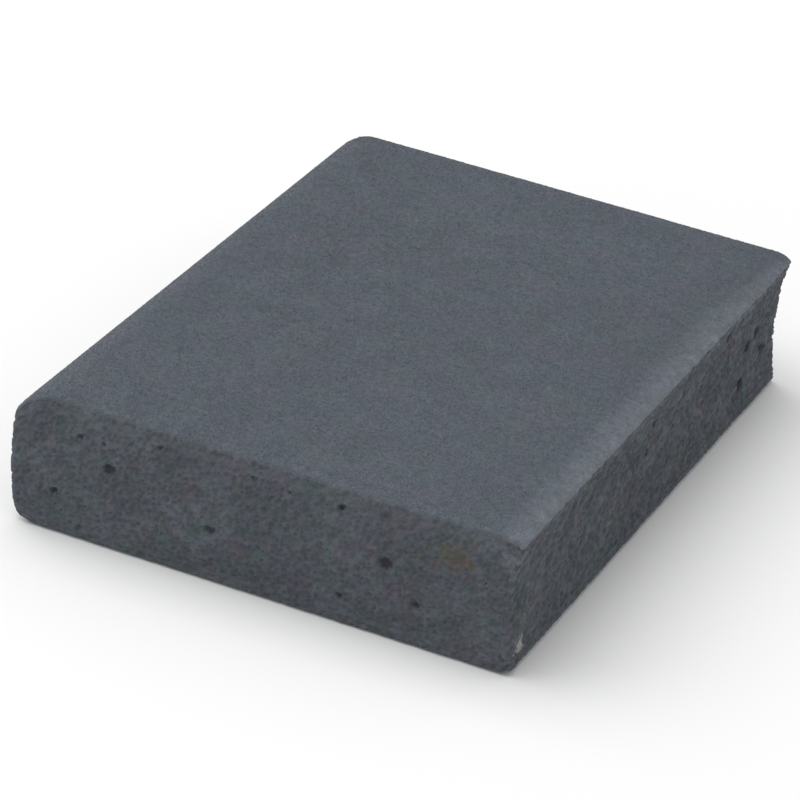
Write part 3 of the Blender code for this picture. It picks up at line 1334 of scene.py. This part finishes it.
# %% Scatter the grit, one sieve at a time
# Grain size, grains in a square metre, how deep a grain is sunk
SIEVES = {
    "fine": (0.20 * MM, 3.3e6, 0.02 * MM),
    "small": (0.24 * MM, 3.3e6, 0.03 * MM),
    "middling": (0.28 * MM, 3.3e6, 0.05 * MM),
    "coarse": (0.33 * MM, 2.6e6, 0.08 * MM),
}
FIRST_SEED = 3
grits = []
for side, upwards, sieves in (("upper", 1.0, list(SIEVES)), ("lower", -1.0, ["coarse"])):
    for number, sieve in enumerate(sieves):
        grain_size, crowding, sink = SIEVES[sieve]
        look = {"Grain Size": grain_size, "Grains per Square Metre": crowding, "Sink": sink}
        look |= {"Upwards": upwards, "Seed": FIRST_SEED + 10 * number, "Finish": grain_finish}
        name = f"{side}_{sieve}_grit"
        grits.append(run_tree(coats[side + "_grit_coat"], scatter_tree, look, name))
        print(name, len(grits[-1].data.polygons) // 8, "grains")

# %% [markdown]
# The blanks and the pores' points have done their work, and they aren't pieces.

# %% Clear the blanks away
for blank in (foam_blank, pores, *sheets.values()):
    bpy.data.objects.remove(blank, do_unlink=True)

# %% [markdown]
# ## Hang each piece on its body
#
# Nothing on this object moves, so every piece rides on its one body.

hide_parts("foam_core")
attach(foam, "root")
for name, coat in coats.items():
    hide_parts(name)
    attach(coat, "root")
for grit in grits:
    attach(grit, "root")
print("pieces:", [foam.name, *[coat.name for coat in coats.values()], *[g.name for g in grits]])

# %% [markdown]
# ## Light and floor
#
# The block lies on a big white floor. The floor's level is the lowest point of the
# coats and the grains, so nothing floats or sinks.

# %% Floor
FLOOR_SIZE = 4.0
FLOOR_WHITE = rgb(0.86, 0.86, 0.86)


def make_floor():
    half = FLOOR_SIZE / 2
    level = min(corner[2] for piece in [*grits, *coats.values()] for corner in piece.bound_box)
    mesh = bpy.data.meshes.new("floor")
    corners = [(-half, -half, level), (half, -half, level), (half, half, level), (-half, half, level)]
    mesh.from_pydata(corners, [], [(0, 1, 2, 3)])
    finish, tree, place = new_finish("floor_finish")
    grey = scaled(tree, FLOOR_WHITE[:3], clouded(tree, place, ((300 * MM, 0.01),)))
    roughness = ramp(tree, noise(tree, place, 200 * MM), 0, 1, 0.85, 0.95)
    complete(tree, grey, roughness, ((noise(tree, place, 2 * MM), 0.001 * MM),))
    mesh.materials.append(finish)
    return put_in_scene("floor", mesh)


make_floor()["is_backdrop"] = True

# %% [markdown]
# One large soft light hangs over the block, to its left, so its right side is the
# darkest. An even white fill from all round keeps the shadows pale.

# %% Lights
FILL_STRENGTH = 0.66
KEY_POWER = 22.0
KEY_SIZE = 1.9
KEY_PLACE = Vector((-0.75, -0.15, 1.4))


def aimed(place, target):
    """A turn that points a light from a place at a target."""
    return Matrix.Translation(place) @ (target - place).to_track_quat("-Z", "Y").to_matrix().to_4x4()


def make_lights():
    world = bpy.data.worlds.new("studio")
    bpy.context.scene.world = world
    world.use_nodes = True
    fill = world.node_tree.nodes["Background"].inputs
    fill["Color"].default_value = rgb(1, 1, 1)
    fill["Strength"].default_value = FILL_STRENGTH
    key = bpy.data.lights.new("key", "AREA")
    key.energy = KEY_POWER
    key.size = KEY_SIZE
    put_in_scene("key", key).matrix_world = aimed(KEY_PLACE, block_centre)


make_lights()
bpy.context.scene.view_settings.view_transform = "Standard"
print("light at", list(KEY_PLACE))

# %% [markdown]
# ## Measure what was made
#
# Wrapping, carving and grit must not make the block bigger than it is.

# %% Compare sizes and finish
new_low, new_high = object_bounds()
growth = (new_high - new_low) - (cad_high - cad_low)
print("grown by, in mm:", [round(length / MM, 2) for length in growth])
